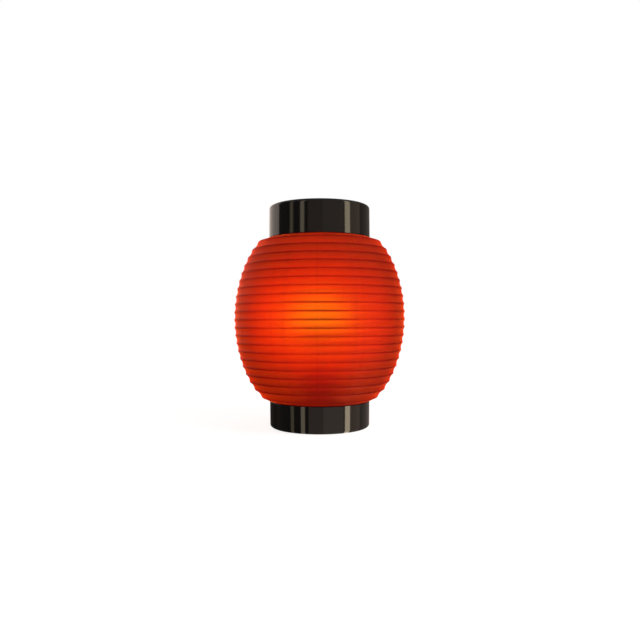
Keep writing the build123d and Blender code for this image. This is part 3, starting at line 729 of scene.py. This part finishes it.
@dataclass
class PaperBody:
    """The pasted paper, the threads behind it and the paper on each hoop."""

    hoop_radius: float = 1.0 * MM
    crest_lift: float = 2.0 * MM  # from a hoop's centre out to the corner of the paper's runs
    crest_round: float = 0.6 * MM
    sag: float = 1.7 * MM
    neck_sag: float = 0.25 * MM
    thickness: float = 0.28 * MM
    neck_step: float = 0.8 * MM  # the paper ends this far outside a ring's wall
    neck_gap: float = 0.3 * MM
    segments: int = 288
    lean: float = 0.005  # rise for each metre to the right: pasted ridges never lie quite level
    lean_fade: float = 0.12
    thread_count: int = 8
    thread_radius: float = 0.28 * MM
    knot_radius: float = 0.5 * MM
    thread_set: float = 2.2  # thread radii from a hoop's face to the thread's middle
    thread_sides: int = 8
    thread_tuck: Point = (1.0 * MM, 0.3 * MM)  # in from a neck band's outside, past its edge
    knot_shares: tuple[float, ...] = (0.0, 0.07, 0.12, 0.18, 0.5, 0.82, 0.88, 0.93)
    knot_reach: float = 0.1  # a knot's share of the way to the next hoop
    wander: float = 0.06 * MM  # how uneven the paper is round the body
    hoop_shadow_reach: float = 1.1 * MM  # how far the painted shadow of a hoop spreads either side of its crest
    neck_fade: float = 3.0  # crest rounds over which a neck's sag takes over
    even_window: int = 49  # outline points that the barrel's facing is averaged over
    sleeve_outer: float = 1.18 * MM  # from a hoop's centre
    sleeve_inner: float = 1.06 * MM
    sleeve_reach: int = 80  # degrees up and down from straight out
    sleeve_step: int = 20
    sleeve_segments: int = 144
    material: bpy.types.Material = field(default_factory=lambda: Washi().build())

    def __post_init__(self) -> None:
        """Reads the hoops and the fold from the frame."""
        self.hoops = sorted(name for name in frame["nodes"] if name.startswith("hoop_"))
        self.centres = []
        for name in self.hoops:
            reach, low, high = axis_values(name)
            self.centres.append(np.array((reach - self.hoop_radius, (low + high) / 2)))
        self.upper = axis_values("upper_ring")
        self.lower = axis_values("lower_ring")
        _, self.low_end, self.high_end = axis_values("paper_shade")
        fold = next(j for j in frame["joints"] if j["name"] == "fold")
        bottom = self.low_end - self.neck_gap
        height = self.high_end + self.neck_gap - bottom
        self.anchor = (0.0, 0.0, bottom)
        self.kept = 1 - fold["range_m"][1] / height

    def corners(self) -> list[np.ndarray]:
        """Places the paper's corners, one just outside each hoop.

        Returns:
            (radius, height) from the lower mouth up.
        """
        ends = [
            np.array((self.lower[0] + self.neck_step, self.low_end)),
            np.array((self.upper[0] + self.neck_step, self.high_end)),
        ]
        line = [ends[0], *self.centres, ends[1]]
        found = [ends[0]]
        for before, here, after in zip(line, line[1:], line[2:]):
            along = (after - here) / np.linalg.norm(after - here)
            along = along + (here - before) / np.linalg.norm(here - before)
            along /= np.linalg.norm(along)
            found.append(here + self.crest_lift * np.array((along[1], -along[0])))
        return [*found, ends[1]]

    def outline(self) -> tuple[np.ndarray, np.ndarray]:
        """The paper's outer line.

        Returns:
            (radius, height) rows from the lower mouth up, and for each how nearly it lies on a
            hoop, from 0 to 1, which sets how dark the painted hoop shadow is there.
        """
        corners = self.corners()
        half = [0.0, 0.04, 0.085, 0.13, 0.19, 0.27, 0.38, 0.5]
        steps = half + [1 - share for share in reversed(half[:-1])]
        points, cover = [], []
        for run, (start, end) in enumerate(zip(corners, corners[1:])):
            length = np.linalg.norm(end - start)
            along = (end - start) / length
            inward = np.array((-along[1], along[0]))
            neck = run in (0, len(corners) - 2)
            sag = self.neck_sag if neck else self.sag
            for share in steps:
                near = min(share, 1 - share) * length
                soft = math.hypot(near, self.crest_round)
                if neck and (share < 0.5) == (run == 0):
                    soft = near
                dip = 4 * sag * soft / length * (1 - soft / length)
                if neck and (share >= 0.5) == (run == 0):
                    full = 4 * self.sag * soft / length * (1 - soft / length)
                    fade = max(0.0, 1 - near / (self.neck_fade * self.crest_round)) ** 2
                    dip = max(dip, full * fade)
                spot = start + along * share * length + inward * dip
                # strength of the painted hoop shadow at this point
                hoop_shadow_share = math.exp(-((near / self.hoop_shadow_reach) ** 2))
                if neck and (share < 0.5) == (run == 0):
                    hoop_shadow_share = 0.0
                if share == 0.0 and points:
                    points[-1] = (points[-1] + spot) / 2
                    continue
                points.append(spot)
                cover.append(hoop_shadow_share)
        return np.array(points), np.array(cover)

    def build_paper(self) -> None:
        """Builds the pasted paper as one closed thin shell."""
        outer, cover = self.outline()
        slope = np.gradient(outer, axis=0)
        slope /= np.linalg.norm(slope, axis=1)[:, None]
        inner = outer + self.thickness * np.column_stack((-slope[:, 1], slope[:, 0]))
        loop = np.vstack((outer, inner[::-1]))
        hoop_shadow_rows = np.concatenate((cover, cover[::-1]))
        travel = np.concatenate(
            ([0.0], np.cumsum(np.linalg.norm(np.diff(outer, axis=0), axis=1)))
        )
        travel = np.concatenate((travel, travel[::-1]))
        count = len(loop)

        def settle(radius: float, height: float, angle: float) -> float:
            """Hand-pasted paper is never perfectly even round the body.

            Args:
                radius: distance from the axis, in metres.
                height: height, in metres.
                angle: angle round the axis, in radians.

            Returns:
                What to add to the radius, in metres.
            """
            wave = math.sin(3 * angle + 40 * height) + 0.6 * math.sin(7 * angle - 90 * height)
            return self.wander * wave

        paper = turned("paper", [tuple(p) for p in loop], self.segments, settle)
        sheet = paper.data.uv_layers.new(name="sheet")
        widest = float(outer[:, 0].max())
        corner = 0
        uv = np.zeros(len(paper.data.loops) * 2, np.float32)
        for step in range(self.segments):
            for place in range(count):
                after = (place + 1) % count
                for side, spot in ((0, place), (1, place), (1, after), (0, after)):
                    uv[2 * corner] = TURN * (step + side) / self.segments * widest
                    uv[2 * corner + 1] = travel[spot]
                    corner += 1
        sheet.data.foreach_set("uv", uv)
        either_side = self.even_window // 2
        weights = np.ones(self.even_window) / self.even_window
        steep = np.convolve(np.pad(slope[:, 0], either_side, "edge"), weights, "valid")
        tall = np.convolve(np.pad(slope[:, 1], either_side, "edge"), weights, "valid")
        barrel = np.column_stack((tall, -steep)) / np.hypot(steep, tall)[:, None]
        barrel = np.vstack((barrel, -barrel[::-1]))
        turns = TURN * np.arange(self.segments) / self.segments
        facing = np.stack(
            (
                np.cos(turns)[:, None] * barrel[:, 0],
                np.sin(turns)[:, None] * barrel[:, 0],
                np.ones_like(turns)[:, None] * barrel[:, 1],
            ),
            axis=-1,
        )
        even = paper.data.attributes.new("barrel_facing", "FLOAT_VECTOR", "POINT")
        even.data.foreach_set("vector", facing.astype(np.float32).ravel())
        places = np.zeros(len(paper.data.vertices) * 3, np.float32)
        paper.data.vertices.foreach_get("co", places)
        places = places.reshape(-1, 3)
        rise = (places[:, 2] - self.low_end) / (self.high_end - self.low_end)
        hold = np.clip(np.minimum(rise, 1 - rise) / self.lean_fade, 0, 1)
        places[:, 2] += self.lean * places[:, 0] * hold
        paper.data.vertices.foreach_set("co", places.ravel())
        paper.data.update()
        # painted shadow of the hoops, which the paper's material darkens by
        over = paper.data.attributes.new("over_hoop", "FLOAT", "POINT")
        over.data.foreach_set("value", np.tile(hoop_shadow_rows, self.segments).astype(np.float32))
        dress(paper, self.material)
        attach(paper, "base")
        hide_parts("paper_shade")
        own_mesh(paper)
        log.info("built paper, kept share %.4f", self.kept)

    def build_threads(self) -> None:
        """Builds the cotton threads, knotted once round each hoop."""
        offset = self.hoop_radius + self.thread_set * self.thread_radius
        tuck_in, tuck_up = self.thread_tuck
        band = axis_values("lower_neck_band"), axis_values("upper_neck_band")
        line, sizes = [], []
        low = np.array((band[0][0] - tuck_in, band[0][2] + tuck_up))
        high = np.array((band[1][0] - tuck_in, band[1][1] - tuck_up))
        behind = [c - np.array((offset, 0.0)) for c in self.centres]
        stops = [low, *behind, high]
        for start, end in zip(stops, stops[1:]):
            for share in self.knot_shares:
                line.append(start + (end - start) * share)
                knotted = min(share, 1 - share) < self.knot_reach
                sizes.append(self.knot_radius if knotted else self.thread_radius)
        line.append(high)
        sizes.append(self.thread_radius)
        sides = self.thread_sides
        vertices, faces = [], []
        for thread in range(self.thread_count):
            angle = TURN * (thread + 0.5) / self.thread_count
            out = np.array((math.cos(angle), math.sin(angle), 0.0))
            beside = np.array((-math.sin(angle), math.cos(angle), 0.0))
            first = len(vertices)
            for spot, (place, size) in enumerate(zip(line, sizes)):
                ahead = line[min(spot + 1, len(line) - 1)] - line[max(spot - 1, 0)]
                ahead = ahead / np.linalg.norm(ahead)
                across = out * ahead[1] - np.array((0.0, 0.0, ahead[0]))
                middle = out * place[0] + np.array((0.0, 0.0, place[1]))
                for side in range(sides):
                    turn = TURN * side / sides
                    way = across * math.cos(turn) + beside * math.sin(turn)
                    vertices.append(middle + way * size)
            for spot in range(len(line) - 1):
                for side in range(sides):
                    here = first + spot * sides
                    after = (side + 1) % sides
                    faces.append(
                        (here + side, here + after, here + sides + after, here + sides + side)
                    )
            last = first + (len(line) - 1) * sides
            faces.append(tuple(first + side for side in reversed(range(sides))))
            faces.append(tuple(last + side for side in range(sides)))
        threads = make_object("threads", np.array(vertices), faces)
        dress(threads, COTTON.build())
        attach(threads, "base")
        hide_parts("spacing_threads")
        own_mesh(threads)
        log.info("built threads")

    def build_hoops(self) -> None:
        """Dresses the hoops and pastes paper over the outside of each."""
        bamboo = BAMBOO.build()
        pasted = PASTED_PAPER.build()
        for name, centre in zip(self.hoops, self.centres):
            dress_node(name, bamboo)
            # the hoop casts no shadow; the paper's material paints one over it instead
            frame["nodes"][name].visible_shadow = False
            steps = range(-self.sleeve_reach, self.sleeve_reach + 1, self.sleeve_step)
            turns = [math.radians(a) for a in steps]
            outside = [(self.sleeve_outer, a) for a in turns]
            inside = [(self.sleeve_inner, a) for a in reversed(turns)]
            outline = [
                (centre[0] + r * math.cos(a), centre[1] + r * math.sin(a))
                for r, a in outside + inside
            ]
            cover = turned(f"paper_on_{name}", outline, self.sleeve_segments)
            dress(cover, pasted)
            cover.visible_shadow = False
            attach(cover, name)
        for name in ("upper_neck_band", "lower_neck_band"):
            dress_node(name, pasted)
        log.info("built %d hoop covers", len(self.hoops))

    def build(self) -> None:
        """Builds the whole body."""
        self.build_paper()
        self.build_threads()
        self.build_hoops()


# ---------------------------------------------------------------- rings and lamp


@dataclass
class MouthRings:
    """The two lacquered rings and the grommet in the lower one."""

    def build(self) -> None:
        """Dresses the rings."""
        lacquer = LACQUER.build()
        for name in ("upper_ring", "lower_ring"):
            dress_node(name, lacquer)
        dress_node("cable_grommet", RUBBER.build())


@dataclass
class Threaded:
    """A thin-walled round piece with a rolled screw thread.

    Args:
        node: the CAD node it stands for.
        pitch: from one turn of the thread to the next.
        depth: how deep the thread is.
        wall: thickness from crest to bore.
        slot: not used.
    """

    node: str
    pitch: float
    depth: float
    wall: float
    slot: Slot
    plain: float = 1.5 * MM  # unthreaded length at each end
    steps_each: int = 12  # outline points for each turn of the thread
    fewest_steps: int = 24
    segments: int = 96

    def build(self, material: bpy.types.Material) -> None:
        """Builds the piece in place of its CAD node.

        Args:
            material: what it is dressed in.
        """
        reach, low, high = axis_values(self.node)
        steps = max(int((high - low) / self.pitch * self.steps_each), self.fewest_steps)
        rise = [low + (high - low) * k / steps for k in range(steps + 1)]
        bore = reach - self.wall
        outline = [(reach, z) for z in rise] + [(bore, z) for z in reversed(rise)]

        def cut(radius: float, height: float, angle: float) -> float:
            """How far the thread sinks below its crest at a place.

            Args:
                radius: distance from the axis, in metres.
                height: height, in metres.
                angle: angle round the axis, in radians.

            Returns:
                What to add to the radius, in metres.
            """
            if radius < reach - self.wall / 2:
                return 0.0
            edge = min(height - low, high - height) / self.plain
            wave = 0.5 - 0.5 * math.cos(TURN * (height / self.pitch - angle / TURN))
            return -self.depth * wave * min(max(edge, 0.0), 1.0)

        piece = turned(f"threaded_{self.node}", outline, self.segments, cut)
        dress(piece, material)
        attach(piece, "base")
        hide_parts(self.node)
        log.info("built %s", piece.name)


@dataclass
class Lamp:
    """The bar, the holder with its key switch, and the bulb."""

    def build(self) -> None:
        """Dresses the lamp's CAD nodes and builds the threaded nipple."""
        zinc, brass, phenolic = ZINC.build(), BRASS.build(), PHENOLIC.build()
        pine, nickel = PINE.build(), NICKEL.build()
        finishes = {
            "lamp_bar": pine,
            "bar_cleats": pine,
            "bar_screws": zinc,
            "lower_lock_nut": zinc,
            "upper_lock_nut": zinc,
            "washers": zinc,
            "holder_cap": phenolic,
            "holder_shell": phenolic,
            "holder_insert": PORCELAIN.build(),
            "terminal_screws": brass,
            "centre_contact": brass,
            "screw_liner": brass,
            "switch_bush": brass,
            "switch_spindle": brass,
            "switch_leaf": brass,
            "switch_cam": FIBRE.build(),
            "switch_key": KEY_PLASTIC.build(),
            "bulb_tip": SOLDER.build(),
            "bulb_insulator": BLACK_GLASS.build(),
            "bulb_screw_cap": nickel,
            "bulb_housing": HOUSING.build(),
            "bulb_dome": OPAL.build(),
            "led_board": MASK.build(),
            "led_chips": PHOSPHOR.build(),
            "driver_board": LAMINATE.build(),
        }
        for node, material in finishes.items():
            dress_node(node, material)
        for node in ("bulb_dome", "bulb_housing", "led_board", "led_chips", "driver_board"):
            frame["nodes"][node].visible_shadow = False
        Threaded("nipple", 1.0 * MM, 0.3 * MM, 1.4 * MM, Slot.STEEL).build(zinc)


# ---------------------------------------------------------------- studio


@dataclass(frozen=True)
class Card:
    """A strip of light that the lacquer mirrors.

    Args:
        start: where it begins on the rings, in degrees round from the front, right positive.
        end: where it ends.
        above: how bright the upper ring mirrors it.
        below: how bright the lower ring does.
        colour: sRGB hex of its light.
    """

    start: float
    end: float
    above: float
    below: float
    colour: str


@dataclass
class Studio:
    """Floor, lamps, mirrored cards, world and camera. Sizes in metres."""

    cards: tuple[Card, ...] = (
        Card(-85.0, -56.0, 1.15, 0.05, "ffede0"),
        Card(-56.0, -49.8, 1.3, 0.1, "ffece0"),
        Card(-33.2, -29.0, 0.9, 0.9, "ffefc8"),
        Card(-20.6, -16.4, 1.7, 2.0, "ffeccd"),
        Card(-12.0, 4.0, 0.34, 0.5, "ffe8d8"),
        Card(4.0, 27.0, 0.44, 0.72, "ffeddc"),
        Card(28.2, 34.6, 4.2, 6.2, "ffeccb"),
        Card(34.6, 50.0, 0.6, 0.68, "ffe4d0"),
        Card(50.0, 85.0, 0.2, 0.3, "ffe8dc"),
    )
    card_dark: float = 0.08
    card_near: float = -0.004
    card_far: float = 0.7
    card_height: float = 0.8
    card_top: float = 0.3
    card_low: float = 0.0006  # above the floor
    card_edge: float = 85.0  # degrees round the rings either way
    card_step: float = 0.5
    distance: float = 0.849
    lens: float = 33.79
    sensor: float = 36.0
    tilt: float = 0.0023
    roll: float = 0.002
    camera_height: float = 0.15115
    camera_side: float = 0.0006
    ambient: float = 0.35
    ambient_colour: str = "fff8f0"
    bulb_power: float = 0.7
    bulb_colour: str = "ffffff"
    bulb_share: float = 0.9  # of the dome's radius
    key_power: float = 9.0
    key_colour: str = "fff4e6"
    key_size: float = 0.9
    key_place: tuple[float, float, float] = (0.8, -0.6, 1.25)
    key_aim: tuple[float, float, float] = (0.0, 0.0, 0.15)
    floor_reach: float = 6.0
    floor_steps: int = 96
    floor_drop: float = 0.0002
    floor_paint: str = "b4b4b4"
    floor_lift: float = 0.86  # the floor's own level where it is seen

    def rays(self, tree: bpy.types.NodeTree) -> bpy.types.NodeSocket:
        """Tells the rays that look at things from those that light them.

        Args:
            tree: the node tree to add to.

        Returns:
            1 for rays from the camera, mirrors and glass, 0 for the rest.
        """
        path = add_node(tree, "ShaderNodeLightPath").outputs
        seen = path["Is Camera Ray"]
        for name in ("Is Glossy Ray", "Is Transmission Ray"):
            seen = add_node(
                tree, "ShaderNodeMath", {"operation": "MAXIMUM"}, {0: seen, 1: path[name]}
            ).outputs[0]
        return seen

    def build_world(self) -> None:
        """White where it is seen, and a soft even light otherwise."""
        world = bpy.data.worlds.new("studio")
        world.use_nodes = True
        tree = world.node_tree
        tree.nodes.clear()
        soft = add_node(
            tree,
            "ShaderNodeBackground",
            {},
            {"Color": linear(self.ambient_colour), "Strength": self.ambient},
        )
        white = add_node(
            tree, "ShaderNodeBackground", {}, {"Color": (1, 1, 1, 1), "Strength": 1.0}
        )
        both = add_node(
            tree,
            "ShaderNodeMixShader",
            {},
            {0: self.rays(tree), 1: soft.outputs[0], 2: white.outputs[0]},
        )
        add_node(tree, "ShaderNodeOutputWorld", {}, {"Surface": both.outputs[0]})
        bpy.context.scene.world = world

    def build_floor(self) -> None:
        """A plain pale floor that is white to the camera and keeps a soft shadow."""
        steps, reach = self.floor_steps, self.floor_reach
        ring = [
            (reach * math.cos(TURN * k / steps), reach * math.sin(TURN * k / steps), 0.0)
            for k in range(steps)
        ]
        floor = make_object("floor", np.array(ring), [tuple(range(steps))])
        floor.location.z = CAD_BOX[0][2] - self.floor_drop
        material = blank_material("floor_painted_white")
        tree = material.node_tree
        paint = add_node(tree, "ShaderNodeBsdfDiffuse", {}, {"Color": linear(self.floor_paint)})
        level = (self.floor_lift, self.floor_lift, self.floor_lift)
        lift = add_node(
            tree,
            "ShaderNodeEmission",
            {},
            {"Color": (*level, 1), "Strength": self.rays(tree)},
        )
        both = add_node(
            tree, "ShaderNodeAddShader", {}, {0: paint.outputs[0], 1: lift.outputs[0]}
        )
        add_node(tree, "ShaderNodeOutputMaterial", {}, {"Surface": both.outputs[0]})
        dress(floor, material)

    def build_cards(self) -> None:
        """Black card on the floor and round it with strips of light, which only mirrors see."""
        reach = axis_values("lower_ring")[0]
        eye = Vector((0.0, -self.distance))
        angles = np.arange(-self.card_edge, self.card_edge + 0.01, self.card_step)
        vertices, colours, faces = [], [], []
        rows = 7
        for column, degrees in enumerate(angles):
            turn = math.radians(float(degrees))
            normal = Vector((math.sin(turn), -math.cos(turn)))
            place = normal * reach
            bounce = (place - eye).normalized().reflect(normal)
            light = {side: Vector((1, 1, 1)) * self.card_dark for side in ("above", "below")}
            for card in self.cards:
                if card.start <= degrees < card.end:
                    tint = Vector(linear(card.colour)[:3])
                    light = {"above": tint * card.above, "below": tint * card.below}
            low = self.card_low
            light["over"] = Vector((1, 1, 1)) * self.card_top
            for away, height, side in (
                (self.card_near, low, "below"),
                (self.card_far / 2, low, "below"),
                (self.card_far, low, "below"),
                (self.card_far, low, "above"),
                (self.card_far, self.card_height, "above"),
                (self.card_far, self.card_height, "over"),
                (0.0, self.card_height, "over"),
            ):
                spot = place + bounce * away
                vertices.append((spot.x, spot.y, height))
                colours.extend((*light[side], 1.0))
            if column:
                here = column * rows
                for row in (0, 1, 3, 5):
                    faces.append(
                        (here - rows + row, here + row, here + row + 1, here - rows + row + 1)
                    )
        surround = make_object("card_surround", np.array(vertices), faces)
        paint = surround.data.attributes.new("strips", "FLOAT_COLOR", "POINT")
        paint.data.foreach_set("color", colours)
        for flag in ("camera", "diffuse", "transmission", "shadow", "volume_scatter"):
            setattr(surround, f"visible_{flag}", False)
        material = blank_material("card_black_with_strips")
        tree = material.node_tree
        strips = add_node(tree, "ShaderNodeAttribute", {"attribute_name": "strips"})
        light = add_node(
            tree, "ShaderNodeEmission", {}, {"Color": strips.outputs["Color"], "Strength": 1.0}
        )
        add_node(tree, "ShaderNodeOutputMaterial", {}, {"Surface": light.outputs[0]})
        dress(surround, material)

    def build_lights(self) -> None:
        """The lit bulb and a large soft lamp at the upper right."""
        low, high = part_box("bulb_dome")
        bulb = bpy.data.lights.new("bulb_light", "POINT")
        bulb.energy = self.bulb_power
        bulb.shadow_soft_size = (high.x - low.x) / 2 * self.bulb_share
        bulb.color = linear(self.bulb_colour)[:3]
        holder = bpy.data.objects.new("bulb_light", bulb)
        holder.location = ((low + high) / 2).xyz
        holder.location.z = high.z - (high.x - low.x) / 2
        bpy.context.scene.collection.objects.link(holder)
        key = bpy.data.lights.new("key_light", "AREA")
        key.shape = "DISK"
        key.size = self.key_size
        key.energy = self.key_power
        key.color = linear(self.key_colour)[:3]
        stand = bpy.data.objects.new("key_light", key)
        stand.location = self.key_place
        aim = Vector(self.key_aim) - stand.location
        stand.rotation_euler = aim.to_track_quat("-Z", "Y").to_euler()
        stand.visible_glossy = False
        bpy.context.scene.collection.objects.link(stand)

    def build_camera(self) -> None:
        """A camera level with the lantern's middle."""
        data = bpy.data.cameras.new("camera")
        data.lens = self.lens
        data.sensor_width = self.sensor
        data.clip_start = 0.01
        camera = bpy.data.objects.new("camera", data)
        camera.matrix_world = (
            Matrix.Translation((self.camera_side, -self.distance, self.camera_height))
            @ Matrix.Rotation(math.pi / 2 - self.tilt, 4, "X")
            @ Matrix.Rotation(-self.roll, 4, "Z")
        )
        bpy.context.scene.collection.objects.link(camera)
        bpy.context.scene.camera = camera

    def build(self) -> None:
        """Sets up the studio."""
        bpy.context.scene.view_settings.view_transform = "Standard"
        self.build_camera()
        self.build_world()
        self.build_floor()
        self.build_cards()
        self.build_lights()
        log.info("built studio")


def main() -> None:
    """Builds the lantern and the studio."""
    logging.basicConfig(level=logging.INFO, format="%(name)s: %(message)s")
    Studio().build()
    MouthRings().build()
    PaperBody().build()
    Lamp().build()
    bpy.context.view_layer.update()


if __name__ == "__main__":
    main()
